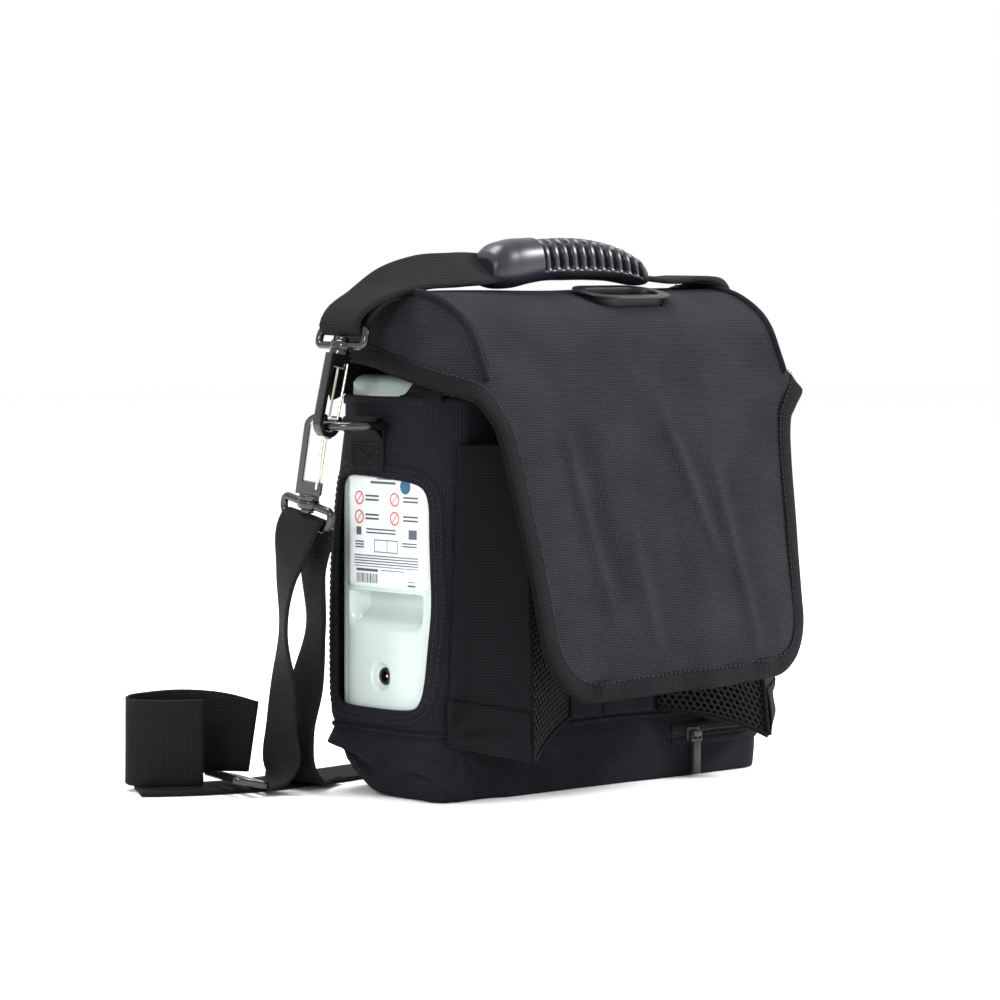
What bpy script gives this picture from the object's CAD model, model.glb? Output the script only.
"""Looks of a portable oxygen concentrator in its carry bag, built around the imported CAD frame. Metres."""

import math

import bpy
import bmesh
import numpy as np
from mathutils import Matrix, Vector, noise
from mathutils.bvhtree import BVHTree


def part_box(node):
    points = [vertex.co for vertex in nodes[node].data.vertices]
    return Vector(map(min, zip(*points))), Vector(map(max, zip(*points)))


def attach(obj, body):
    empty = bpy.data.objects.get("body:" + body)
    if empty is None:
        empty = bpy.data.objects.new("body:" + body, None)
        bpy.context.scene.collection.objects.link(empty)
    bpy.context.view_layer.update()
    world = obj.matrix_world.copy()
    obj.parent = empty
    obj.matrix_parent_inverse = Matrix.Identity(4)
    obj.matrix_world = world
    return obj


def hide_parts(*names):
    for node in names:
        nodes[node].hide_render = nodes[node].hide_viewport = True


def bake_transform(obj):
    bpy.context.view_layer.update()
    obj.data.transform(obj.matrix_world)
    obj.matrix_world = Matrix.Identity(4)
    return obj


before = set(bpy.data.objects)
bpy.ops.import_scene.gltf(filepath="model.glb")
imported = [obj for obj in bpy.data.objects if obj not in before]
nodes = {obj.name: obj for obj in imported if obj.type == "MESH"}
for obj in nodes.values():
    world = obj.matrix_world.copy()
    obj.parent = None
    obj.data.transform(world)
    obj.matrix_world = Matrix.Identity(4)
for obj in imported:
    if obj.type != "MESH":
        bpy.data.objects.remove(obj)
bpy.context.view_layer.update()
MM = 0.001
SIDES = (("left", -1), ("right", 1))

# ---- places read from the frame
def middle(node):
    lo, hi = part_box(node)
    return (lo + hi) / 2


shell_lo, shell_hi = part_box("bag_shell")
unit_lo, unit_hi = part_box("unit_housing")
tape_lo, tape_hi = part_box("zipper_tape")
panel_lo, panel_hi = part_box("pocket_centre_panel")
grille_lo, grille_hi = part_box("exhaust_grille")
BAG_X, BAG_Y = shell_hi.x, shell_hi.y  # half length and half depth of the bag body
SEAM_Z = shell_lo.z  # where the walls are sewn to the base
RIM_Z = shell_hi.z  # top edge of the walls
CORNER = 0.018  # radius of the bag body's upright corners
WALL = 0.004  # thickness of its walls
JACK = middle("dc_jack_pin")
PORT = middle("cannula_grommet")
GRIP_Y = middle("handle_grip").y


# ---- mesh helpers
def piece(name, verts, faces, uvs=None, smooth=True):
    """A new mesh object; uvs holds one (u, v) in metres for each vertex."""
    me = bpy.data.meshes.new(name)
    me.from_pydata([tuple(map(float, v)) for v in verts], [], faces)
    if uvs is not None:
        layer = me.uv_layers.new(name="metres")
        index = np.zeros(len(me.loops), int)
        me.loops.foreach_get("vertex_index", index)
        layer.data.foreach_set("uv", np.asarray(uvs, float)[index].ravel())
    me.polygons.foreach_set("use_smooth", [smooth] * len(me.polygons))
    me.update()
    o = bpy.data.objects.new(name, me)
    bpy.context.scene.collection.objects.link(o)
    return o


def modify(o, kind, **settings):
    """Adds a modifier and turns it into the object's mesh."""
    modifier = o.modifiers.new(kind.lower(), kind)
    for key, value in settings.items():
        setattr(modifier, key, value)
    view = bpy.context.evaluated_depsgraph_get()
    me = bpy.data.meshes.new_from_object(o.evaluated_get(view))
    o.modifiers.clear()
    o.data = me
    return o


def edit_mesh(o, *steps):
    """Opens the object's mesh as a bmesh and runs each step on it."""
    bm = bmesh.new()
    bm.from_mesh(o.data)
    for step in steps:
        step(bm)
    bm.to_mesh(o.data)
    bm.free()
    return o


def even_normals(bm):
    bmesh.ops.recalc_face_normals(bm, faces=bm.faces)


def without_faces(test):
    """A step that deletes the faces whose middle passes the test."""

    def step(bm):
        gone = [f for f in bm.faces if test(f.calc_center_median())]
        bmesh.ops.delete(bm, geom=gone, context="FACES")

    return step


def smooth_by_angle(o, degrees):
    """Smooth shading with the edges that are sharper than the angle left crisp."""

    def mark(bm):
        for e in bm.edges:
            e.smooth = not (e.is_manifold and e.calc_face_angle(0) > math.radians(degrees))

    o.data.polygons.foreach_set("use_smooth", [True] * len(o.data.polygons))
    return edit_mesh(o, mark)


def per_vertex(o, what):
    values = np.zeros(len(o.data.vertices) * 3)
    o.data.vertices.foreach_get(what, values)
    return values.reshape(-1, 3)


def copy_of(node, name):
    """The CAD node's mesh as a new object, welded and with its flat faces merged."""

    def weld(bm):
        bmesh.ops.remove_doubles(bm, verts=bm.verts, dist=1e-6)
        bmesh.ops.dissolve_limit(bm, angle_limit=math.radians(0.5), verts=bm.verts, edges=bm.edges)

    o = bpy.data.objects.new(name, nodes[node].data.copy())
    o.data.materials.clear()
    bpy.context.scene.collection.objects.link(o)
    return edit_mesh(o, weld)


def noise_at(co, scale, seed=0.0):
    """Smooth noise from -1 to 1 at each point; scale is the points' multiplier on each axis."""
    x, y, z = scale
    flat = np.reshape(co, (-1, 3))
    out = [noise.noise((p[0] * x + seed, p[1] * y + 1.7 * seed, p[2] * z - seed)) for p in flat]
    return np.reshape(out, np.shape(co)[:-1])


def ramp(x, lo, hi):
    """0 up to lo, 1 from hi on and a smooth rise between."""
    t = np.clip((np.asarray(x, float) - lo) / (hi - lo), 0, 1)
    return t * t * (3 - 2 * t)


def resample(rows, step, count=None):
    """Smooth curve through rows, whose first three columns are a position, at even steps."""
    rows = np.array(rows, float)
    k = arc_length(rows[:, :3])
    slope = np.gradient(rows, k, axis=0)
    n = count or max(2, int(round(k[-1] / step)) + 1)
    s = np.linspace(0, k[-1], n)
    i = np.clip(np.searchsorted(k, s, side="right") - 1, 0, len(k) - 2)
    h = (k[i + 1] - k[i])[:, None]
    t = (s - k[i])[:, None] / h
    a, b = rows[i], rows[i + 1]
    return (
        (2 * t**3 - 3 * t**2 + 1) * a
        + (t**3 - 2 * t**2 + t) * h * slope[i]
        + (3 * t**2 - 2 * t**3) * b
        + (t**3 - t**2) * h * slope[i + 1]
    )


def unit(v):
    return v / np.maximum(np.linalg.norm(v, axis=-1, keepdims=True), 1e-12)


def arc_length(p):
    return np.r_[0, np.cumsum(np.linalg.norm(np.diff(p, axis=0), axis=1))]


def points_at(curve, s, q):
    """The curve's rows read off at the lengths q, where s holds each row's own length."""
    return np.stack([np.interp(q, s, column) for column in np.transpose(curve)], axis=-1)


def quads(rows, cols, start=0, close_rows=False, close_cols=True):
    """Faces over a lattice of points that are numbered row by row from start."""
    faces = []
    for i in range(rows if close_rows else rows - 1):
        a, b = start + i * cols, start + (i + 1) % rows * cols
        for j in range(cols if close_cols else cols - 1):
            k = (j + 1) % cols
            faces.append((a + j, a + k, b + k, b + j))
    return faces


def end_caps(rows, cols, start=0):
    """The two faces that close a lattice's first and last ring."""
    last = start + (rows - 1) * cols
    return [tuple(range(start + cols - 1, start - 1, -1)), tuple(range(last, last + cols))]


def grid(name, points, close_cols=False):
    """Quads over points[row][column], with UVs in metres."""
    points = np.asarray(points, float)
    r, c = points.shape[:2]
    across = np.stack([arc_length(row) for row in points])
    along = np.stack([arc_length(points[:, j]) for j in range(c)], axis=1)
    uv = np.stack([across, along], axis=2).reshape(-1, 2)
    return piece(name, points.reshape(-1, 3), quads(r, c, close_cols=close_cols), uv)


def sweep(name, centres, side, up, section, closed=False):
    """Section points (x along side, y along up, u in metres) carried along the centres."""
    section = np.asarray(section, float)
    m, n = len(section), len(centres)
    side, up = (np.broadcast_to(d, centres.shape)[:, None] for d in (side, up))
    pts = centres[:, None] + section[:, :1] * side + section[:, 1:2] * up
    return strip(name, pts, np.tile(section[:, 2], (n, 1)), arc_length(centres), closed)


def strip(name, pts, u, run, closed=False):
    """A closed skin over rings of points, with u across it and run along it as UVs."""
    n, m = pts.shape[:2]
    uv = np.stack([u, np.tile(run[:, None], (1, m))], axis=2)
    faces = quads(n, m, close_rows=closed) + ([] if closed else end_caps(n, m))
    return edit_mesh(piece(name, pts.reshape(-1, 3), faces, uv.reshape(-1, 2)), even_normals)


def ring_round(c, r, a, b, count=5):
    """Points round c in the plane of the directions a and b."""
    turns = [2 * math.pi * k / count for k in range(count)]
    return [c + r * (math.cos(t) * a + math.sin(t) * b) for t in turns]


def rods(name, chains):
    """Short closed rods in one mesh, each given as its rings of points."""
    verts, faces = [], []
    for chain in chains:
        chain = np.asarray(chain)
        rows, cols = chain.shape[:2]
        faces += quads(rows, cols, len(verts)) + end_caps(rows, cols, len(verts))
        verts += list(chain.reshape(-1, 3))
    return piece(name, verts, faces)


def frames_along(centres, side):
    """Unit side and up directions square to the curve's run."""
    run = unit(np.gradient(centres, axis=0))
    side = unit(side - (side * run).sum(1, keepdims=True) * run)
    return side, unit(np.cross(run, side))


def flat_section(w, t, cols=10):
    """Ring of a flat strip of width w and thickness t with rounded edges."""
    x = np.linspace(-w / 2 + t * 0.3, w / 2 - t * 0.3, cols)
    top = [(a, t / 2, a) for a in x]
    low = [(a, -t / 2, a) for a in x[::-1]]
    return np.array(top + [(w / 2, 0, w / 2)] + low + [(-w / 2, 0, -w / 2)])


def round_section(r, n=10):
    a = np.linspace(0, 2 * math.pi, n, endpoint=False)
    return np.stack([r * np.cos(a), r * np.sin(a), r * a], axis=1)


def tube(name, path, r, n=8):
    path = np.asarray(path, float)
    run = unit(np.gradient(path, axis=0))
    upright = np.abs(run[:, 2]) > 0.9
    ref = np.where(upright[:, None], (1.0, 0.0, 0.0), (0.0, 0.0, 1.0))
    if upright.any() and not upright.all():
        ref = unit(np.tile([0.31, 0.52, 0.79], (len(path), 1)))  # off every stretch, so the frame never flips
    side, up = frames_along(path, np.cross(ref, run))
    return sweep(name, path, side, up, round_section(r, n))


def join(objects, name):
    """One mesh from several, all at the origin, keeping their UVs and materials."""
    bpy.ops.object.select_all(action="DESELECT")
    for o in objects:
        o.select_set(True)
    bpy.context.view_layer.objects.active = objects[0]
    bpy.ops.object.join()
    o = bpy.context.view_layer.objects.active
    o.name = o.data.name = name
    return o


# ---- materials
def shader(name, colour, rough, spec=0.5, metal=0.0, **inputs):
    m = bpy.data.materials.new(name)
    m.use_nodes = True
    b = m.node_tree.nodes["Principled BSDF"]
    b.inputs["Base Color"].default_value = (*colour, 1)
    inputs.update({"Roughness": rough, "Specular IOR Level": spec, "Metallic": metal})
    for key, value in inputs.items():
        b.inputs[key.replace("_", " ")].default_value = value
    m.diffuse_color = (*colour, 1)
    return m, m.node_tree, b


def shader_node(nt, kind, inputs, **settings):
    """A shader node with its own settings; each input is a value or another node's output."""
    n = nt.nodes.new("ShaderNode" + kind)
    for key, value in settings.items():
        setattr(n, key, value)
    for key, value in inputs.items():
        if isinstance(value, bpy.types.NodeSocket):
            nt.links.new(value, n.inputs[key])
        else:
            n.inputs[key].default_value = value
    return n


def wave(nt, source, direction, pitch, distort):
    """Bands of the given pitch in metres along a direction of the source coordinates."""
    inputs = {"Vector": source, "Scale": math.pi / 10 / pitch, "Distortion": distort, "Detail Scale": 0.35}
    n = shader_node(nt, "TexWave", inputs, wave_type="BANDS", wave_profile="SIN", bands_direction=direction)
    return n.outputs["Fac"]


def cloud(nt, source, size, detail=2.0):
    return shader_node(nt, "TexNoise", {"Vector": source, "Scale": 1 / size, "Detail": detail}).outputs["Fac"]


def calc(nt, kind, a, b):
    return shader_node(nt, "Math", {0: a, 1: b}, operation=kind).outputs[0]


def weighted(nt, a, share_a, b, share_b):
    return calc(nt, "ADD", calc(nt, "MULTIPLY", a, share_a), calc(nt, "MULTIPLY", b, share_b))


def tone(nt, b, factor, colour, low, high, ends=(0.0, 1.0)):
    """Base colour from low to high times the given one as factor runs between the ends."""
    r = shader_node(nt, "ValToRGB", {"Fac": factor})
    for element, share, at_factor in zip(r.color_ramp.elements, (low, high), ends):
        element.color, element.position = (*(c * share for c in colour), 1), at_factor
    nt.links.new(r.outputs["Color"], b.inputs["Base Color"])


def bump(nt, b, height, strength, distance):
    n = shader_node(nt, "Bump", {"Height": height, "Strength": strength, "Distance": distance})
    nt.links.new(n.outputs["Normal"], b.inputs["Normal"])


def place(nt, kind):
    return shader_node(nt, "TexCoord", {}).outputs[kind]


WEAVE = 0.0016  # pitch of the bag cloth's yarns


def basket(name, colour, light):
    """Plain-woven nylon: yarns along the two directions that lie in the surface, faintly clouded."""
    m, nt, b = shader(name, colour, 0.9, 0.08, Sheen_Weight=0.008, Sheen_Roughness=0.5)
    where = place(nt, "Object")
    split = shader_node(nt, "SeparateXYZ", {0: place(nt, "Normal")})
    yarns = 0.0
    for axis in "XYZ":
        facing = calc(nt, "POWER", calc(nt, "ABSOLUTE", split.outputs[axis], 0.0), 2.0)
        yarn = calc(nt, "MULTIPLY", wave(nt, where, axis, WEAVE, 0.35), calc(nt, "SUBTRACT", 1.0, facing))
        yarns = calc(nt, "ADD", yarns, yarn)
    grain = weighted(nt, yarns, 0.34, cloud(nt, where, 0.0013), 0.3)
    mix = weighted(nt, grain, 0.72, cloud(nt, where, 0.035, 3.0), 0.35)
    tone(nt, b, mix, colour, 1 / light, light, (0.22, 0.86))
    bump(nt, b, grain, 0.8, 0.0009)
    return m


def ribbed(name, colour, pitch, cross=None, light=1.5, depth=0.6):
    """Woven strip with ribs across its length, or both ways; UVs are metres."""
    m, nt, b = shader(name, colour, 0.8, 0.1, Sheen_Weight=0.007, Sheen_Roughness=0.5)
    where = place(nt, "UV")
    ribs = wave(nt, where, "Y", pitch, 0.5)
    if cross:
        ribs = weighted(nt, ribs, 0.6, wave(nt, where, "X", cross, 0.5), 0.4)
    tone(nt, b, ribs, colour, 1 / light, light)
    bump(nt, b, weighted(nt, ribs, 1, cloud(nt, where, 0.002), 0.3), depth, 0.0005)
    return m


def moulded(name, colour, rough, grain=0.0004, depth=0.05, **inputs):
    """Plastic or metal with a faint moulding grain."""
    m, nt, b = shader(name, colour, rough, **inputs)
    where = place(nt, "Object")
    tone(nt, b, cloud(nt, where, 0.02), colour, 0.93, 1.06)
    bump(nt, b, cloud(nt, where, grain), depth, 0.0002)
    return m


M = {
    "flap": basket("flap_weave", (0.0098, 0.0088, 0.0108), 3.1),
    "wall": basket("wall_weave", (0.0062, 0.0057, 0.0076), 3.1),
    "base": basket("base_weave", (0.0064, 0.006, 0.0078), 2.8),
    "binding": ribbed("grosgrain", (0.0028, 0.0028, 0.0036), 0.0016, 0.0019, 3.0, 1.0),
    "elastic": ribbed("ribbed_elastic", (0.0044, 0.0045, 0.0058), 0.0018, None, 1.7, 0.5),
    "webbing": ribbed("webbing_weave", (0.0062, 0.006, 0.0074), 0.0015, 0.0021, 2.2, 0.8),
    "handle_web": ribbed("handle_weave", (0.0068, 0.0064, 0.0078), 0.0013, 0.0026, 2.1, 0.7),
    "mesh": moulded("mesh_yarn", (0.0046, 0.0046, 0.0058), 0.62, spec=0.14),
    "thread": moulded("thread", (0.014, 0.014, 0.017), 0.7, spec=0.2),
    "foam": moulded("foam", (0.03, 0.03, 0.034), 0.95, grain=0.0012, depth=0.4),
    "rim": moulded("moulded_rim", (0.006, 0.006, 0.0075), 0.38, spec=0.35),
    "grip": moulded("satin_grip", (0.011, 0.0125, 0.0175), 0.36, depth=0.08, spec=0.42),
    "black": moulded("gloss_black", (0.0045, 0.0045, 0.0055), 0.14, spec=0.75),
    "wire": moulded("plated_wire", (0.78, 0.7, 0.56), 0.2, depth=0.02, metal=1.0),
    "zip_metal": moulded("painted_zinc", (0.02, 0.02, 0.023), 0.36, spec=0.45),
    "zip_tape": ribbed("zip_weave", (0.009, 0.009, 0.011), 0.0012),
    "unit": moulded(
        "pale_plastic", (0.5, 0.58, 0.555), 0.24, depth=0.02, Coat_Weight=0.3, Coat_Roughness=0.1
    ),
    "battery": moulded("battery_plastic", (0.62, 0.7, 0.68), 0.3, depth=0.02),
    "panel": moulded("keypad", (0.2, 0.27, 0.31), 0.3, depth=0.02),
    "key": moulded("key_cap", (0.06, 0.08, 0.11), 0.42),
    "fitting": moulded("outlet_fitting", (0.55, 0.6, 0.62), 0.3),
    "socket": moulded("socket_black", (0.006, 0.006, 0.007), 0.25),
    "contact": moulded("contact_plate", (0.8, 0.66, 0.4), 0.2, depth=0.02, metal=1.0),
    "cells": moulded("cell_sleeve", (0.05, 0.2, 0.1), 0.4),
    "alloy": moulded("cast_alloy", (0.36, 0.37, 0.39), 0.5, grain=0.001, depth=0.3, metal=0.9),
    "rotor": moulded("rotor_windings", (0.42, 0.17, 0.07), 0.45, grain=0.0008, depth=0.3, metal=0.5),
    "tubes": moulded("drawn_tube", (0.6, 0.62, 0.64), 0.3, depth=0.05, metal=0.9),
    "board": moulded("printed_board", (0.02, 0.12, 0.06), 0.45),
    "label": moulded("label_film", (0.7, 0.745, 0.74), 0.3, depth=0.01),
    "ink": moulded("label_ink", (0.07, 0.09, 0.11), 0.4, depth=0.01),
    "red": moulded("label_red", (0.62, 0.035, 0.03), 0.4, depth=0.01),
    "blue": moulded("label_blue", (0.01, 0.1, 0.2), 0.4, depth=0.01),
}


def dress(o, material, stands_for=(), body="root"):
    """Gives a piece its material, the nodes it stands for and the body it rides on."""
    o.data.materials.clear()
    o.data.materials.append(M[material])
    if body:
        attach(o, body)
    if stands_for:
        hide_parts(*([stands_for] if isinstance(stands_for, str) else stands_for))
    return o


STITCH, STITCH_GAP, THREAD = 0.0026, 0.0014, 0.00032  # length, space between and thread radius


def stitches(name, path, away, slot="bag_fabric", body="root"):
    """A row of thread stitches lying on a surface along a path; away points out of the surface."""
    s = arc_length(path)
    away = np.broadcast_to(away, path.shape)
    row = []
    for k in range(int(s[-1] / (STITCH + STITCH_GAP))):
        start = (k + 0.1) * (STITCH + STITCH_GAP)
        a, b = points_at(path, s, [start, start + STITCH])
        run = unit(b - a)
        side = unit(np.cross(run, points_at(away, s, start)))
        up = np.cross(side, run)
        a, b = a + up * THREAD * 0.5, b + up * THREAD * 0.5
        ends = ((0, 0.3), (0.2, 1), (0.8, 1), (1, 0.3))
        row.append([ring_round(a + (b - a) * f, w * THREAD, side * 1.3, up) for f, w in ends])
    return dress(rods(name, row), "thread", body=body)


def face_out(o, outward_at):
    """Turns the faces over where they look away from the directions that outward_at gives."""
    if sum(p.normal.dot(Vector(outward_at(p.center))) for p in o.data.polygons) < 0:
        o.data.flip_normals()


def surface_tree(o):
    return BVHTree.FromPolygons(per_vertex(o, "co").tolist(), [tuple(p.vertices) for p in o.data.polygons])


def snap(tree, points, direction, lift=0.0):
    """Points moved along direction onto the surface, then lifted off it, and the surface's normals there."""
    d = Vector(direction).normalized()
    out, away = [], []
    for p in points:
        at, n, _, _ = tree.ray_cast(Vector(p) - d * 0.05, d, 0.2)
        if at is None:
            out.append(Vector(p))
            away.append(-d)
        else:
            away.append(n if n.dot(d) < 0 else -n)
            out.append(at + away[-1] * lift)
    return np.array(out), np.array(away)


# ---- bag walls and base
def round_rect_path(hx, hy, r, step, z):
    """Closed outline in plan, anticlockwise from the middle of the front, as points at height z."""
    corners = [(hx - r, -hy + r, -90), (hx - r, hy - r, 0), (-hx + r, hy - r, 90), (-hx + r, -hy + r, 180)]
    pts = [(0.0, -hy)]
    for cx, cy, start in corners:
        for a in range(0, 91, 10):
            t = math.radians(start + a)
            pts.append((cx + r * math.cos(t), cy + r * math.sin(t)))
    pts.append((0.0, -hy))
    p = np.array(pts)
    s = arc_length(p)
    n = int(s[-1] / step)
    q = np.linspace(0, s[-1], n, endpoint=False)
    return np.column_stack([points_at(p, s, q), np.full(n, z)])


def at_corner(x, y):
    """1 at the bag body's upright corners and 0 along its faces."""
    return ramp(np.abs(y), 0.022, BAG_Y - 0.004) * ramp(np.abs(x), BAG_X - 0.03, BAG_X - 0.004)


DRAWN_IN = 0.0085  # how far the rim's tape draws the upper corners in


def tuck(co):
    """The base's back left corner slumps up and in under the bag."""
    x, y, z = co.T
    k = ramp(-x, 0.085, BAG_X - 0.004) * ramp(y, 0.0, BAG_Y - 0.004) * ramp(0.036 - z, 0.0, 0.036)
    out = co.copy()
    out[:, 0] += 0.010 * k
    out[:, 2] += 0.019 * k
    return out


def fold_line(co, path, depth, below=0.0035, above=0.011):
    """Push along a fold on the left face: a soft ridge over the line and a sharp valley under it."""
    y, z = co[:, 1], co[:, 2]
    line = np.array(path, float) * MM
    d = z - np.interp(y, line[:, 0], line[:, 1])
    ends = ramp(y, line[0, 0] - 0.004, line[0, 0] + 0.008) * ramp(line[-1, 0] + 0.004 - y, 0.0, 0.012)
    ridge = np.exp(-np.abs(d - 0.003) / above) * (d > -0.001)
    valley = np.exp(-(((d + 0.0015) / below) ** 2))
    on_face = ramp(-co[:, 0], BAG_X - 0.02, BAG_X - 0.006)
    return depth * (0.55 * ridge - valley) * ends * on_face


def bell(d, width):
    return np.exp(-((d / width) ** 2))


FOLDS = (
    (0.0046, [(2, 16), (30, 21), (56, 25)]),
    (0.0034, [(-50, 14), (-30, 18), (-14, 19)]),
    (0.002, [(-56, 33), (-42, 30), (-30, 31)]),
)  # depth, and y and z of the line in mm, of the folds pressed into the base's left face


def bag_shape(co, no):
    """How the sewn bag departs from its plain solid: drawn-in corners, a pinched seam and creases."""
    x, y, z = co.T
    out = co.copy()
    out[:, 0] -= np.sign(x) * DRAWN_IN * ramp(z, 0.14, RIM_Z) * at_corner(x, y)
    rise = np.sin(math.pi * np.clip((z + 0.03) / 0.26, 0, 1)) ** 0.7
    held_out = ramp(-x, BAG_X - 0.012, BAG_X - 0.003) * rise
    out[:, 0] -= 0.0048 * held_out * (1 - 0.55 * ramp(-y, 0.03, 0.055))
    outer = ramp(np.maximum(np.abs(x) / BAG_X, np.abs(y) / BAG_Y), 0.9, 0.985)
    push = noise_at(co, (9, 9, 5), 3.1) * 0.0012 + noise_at(co, (30, 30, 14), 8.2) * 0.0006
    push += -0.0022 * bell(z - SEAM_Z, 0.005)
    push += 0.0016 * np.sin(math.pi * np.clip(z / SEAM_Z, 0, 1)) * (z < SEAM_Z)
    near_left = ramp(-x, 0.07, 0.13) * ramp(0.054 - z, 0.0, 0.025)
    warped = co + 0.006 * noise_at(co, (40, 40, 40), 5.0)[:, None]
    ridges = 1 - np.abs(noise_at(warped, (15, 15, 52), 12.0))
    push += near_left * (0.0016 * (ridges - 0.82) / 0.18 - 0.0004)
    px, pz = x + 0.132, z - 0.036  # rays pulled from the gusset's foot
    d = np.hypot(px, pz * 1.2)
    rays = np.sin(9 * np.arctan2(pz, px) + 1.2) * ramp(d, 0.002, 0.012) * bell(d, 0.034)
    push += 0.0016 * rays * ramp(-y, 0.045, 0.055)
    out += no * (push * outer)[:, None]
    folds = sum(fold_line(co, path, depth) for depth, path in FOLDS)
    out += no * (folds * outer)[:, None]
    lift = 0.0016 * ramp(noise_at(co, (14, 14, 0), 21.0), 0.1, 0.7) * ramp(0.006 - z, 0, 0.006) * outer
    out[:, 2] = np.maximum(out[:, 2] + lift, 0.0)
    return tuck(out)


def cloth_copy(nodes_in, name, voxel, shape):
    o = join([copy_of(n, name) for n in nodes_in], name)
    o = modify(o, "REMESH", mode="VOXEL", voxel_size=voxel, use_smooth_shade=True)
    o = modify(o, "SMOOTH", factor=0.5, iterations=3)
    o.data.vertices.foreach_set("co", shape(per_vertex(o, "co"), per_vertex(o, "normal")).ravel())
    o.data.update()
    return modify(o, "SMOOTH", factor=0.4, iterations=1)


def pad_shape(co, no):
    return tuck(co + no * 0.0003 * (noise_at(co, (60, 60, 60)) - 1)[:, None])


walls = cloth_copy(("bag_shell", "bag_base"), "bag_body", 0.0022, bag_shape)
dress(walls, "wall", stands_for=("bag_shell", "bag_base"))
pad = cloth_copy(["base_pad"], "foam_pad", 0.004, pad_shape)
dress(pad, "foam", "base_pad")
bag_tree = surface_tree(walls)


def outward(path):
    """Directions out of the bag in plan for points of a round_rect_path."""
    q = path.copy()
    q[:, 0] -= np.clip(q[:, 0], -BAG_X + CORNER, BAG_X - CORNER)
    q[:, 1] -= np.clip(q[:, 1], -BAG_Y + CORNER, BAG_Y - CORNER)
    q[:, 2] = 0
    return unit(q)


# piping along the base seam and a bound top edge
UP = (0.0, 0.0, 1.0)
seam = round_rect_path(BAG_X, BAG_Y, CORNER, 0.004, SEAM_Z + 0.0005)
seam[:, 2] += 0.0012 * noise_at(seam, (22, 22, 0), 4.0)
seam_out = outward(seam)
seam_on = np.array([snap(bag_tree, [p + d * 0.01], -d, 0.0004)[0][0] for p, d in zip(seam, seam_out)])
dress(sweep("base_seam_piping", seam_on, seam_out, UP, round_section(0.0017, 8), closed=True), "base")

rim = round_rect_path(BAG_X - WALL / 2, BAG_Y - WALL / 2, CORNER - WALL / 2, 0.004, RIM_Z)
rim_out = outward(rim)
rim[:, 0] -= np.sign(rim[:, 0]) * DRAWN_IN * at_corner(rim[:, 0], rim[:, 1])
rim[:, 2] += 0.0009 * noise_at(rim, (18, 18, 0), 2.0) - 0.0008
RIM_TAPE = [(-0.0026, -0.0052, 0), (-0.0028, -0.001, 0.004), (-0.0013, 0.001, 0.0065),
            (0.0013, 0.001, 0.009), (0.0028, -0.001, 0.0115), (0.0026, -0.0052, 0.016)]
dress(sweep("wall_rim_binding", rim, rim_out, UP, RIM_TAPE, closed=True), "wall")

# a fold of ribbed lining gathered at the top front corner of each side
for side, s in SIDES:
    u, v = np.meshgrid(np.linspace(0, 1, 26), np.linspace(0, 1, 10))
    crest = 0.0105 * ramp(u, 0.0, 0.42) * (0.85 + 0.15 * np.sin(9 * u)) + 0.004
    curl = crest * np.sin(math.pi * 0.5 * np.clip(v * 1.4, 0, 1)) - 0.003 * ramp(v, 0.72, 1)
    gather = np.stack([
        s * (BAG_X - 0.0035 - 0.006 * v - 0.002 * np.sin(11 * u) * v),
        -0.010 - 0.041 * u + 0.002 * v,
        RIM_Z - 0.004 + curl,
    ], axis=2)
    fold = modify(grid(f"lining_fold_{side}", gather), "SOLIDIFY", thickness=0.0014, offset=0.0)
    dress(fold, "elastic")

# a faced and stitched border round each side window, wrapping the bag's rounded corners
FACING = [(-46.5, 128), (-45.4, 150), (-43.6, 170), (-42.2, 187), (-38.5, 196), (-30, 200),
          (-10, 201.5), (15, 203), (33, 203.5), (40, 199), (42, 190), (42, 130), (42, 70), (40, 60),
          (33, 56.5), (10, 56), (-15, 56), (-32, 57.5), (-39, 62.5), (-42, 74), (-44, 96), (-46, 115)]
FACING_WIDTH = 0.011


def smooth_loop(points, count):
    """Closed outline with its corners cut smooth, as evenly spaced points and their outward directions."""
    p = np.array(points, float)
    for _ in range(3):
        n = np.roll(p, -1, axis=0)
        p = np.stack([p * 0.75 + n * 0.25, p * 0.25 + n * 0.75], axis=1).reshape(-1, 2)
    p = np.vstack([p, p[:1]])
    s = arc_length(p)
    p = points_at(p, s, np.linspace(0, s[-1], count, endpoint=False))
    run = unit(np.roll(p, -1, axis=0) - np.roll(p, 1, axis=0))
    away = np.stack([run[:, 1], -run[:, 0]], axis=1)
    return p, away if ((p - p.mean(axis=0)) * away).sum() > 0 else -away


def on_bag_side(u, z, s, lift):
    """Points on the bag's side wall, u measured over the wall and round its corners."""
    reach = BAG_Y - CORNER
    bend = np.clip((np.abs(u) - reach) / CORNER, 0, None)
    no = np.stack([s * np.cos(bend), np.sign(u) * np.sin(bend), np.zeros_like(u)], axis=-1)
    x = s * (BAG_X - CORNER + CORNER * np.cos(bend))
    y = np.sign(u) * (np.minimum(np.abs(u), reach) + CORNER * np.sin(bend))
    co = np.stack([x, y, z], axis=-1)
    out = bag_shape(co.reshape(-1, 3), no.reshape(-1, 3)).reshape(co.shape)
    return out + no * np.asarray(lift)[..., None], no


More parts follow.
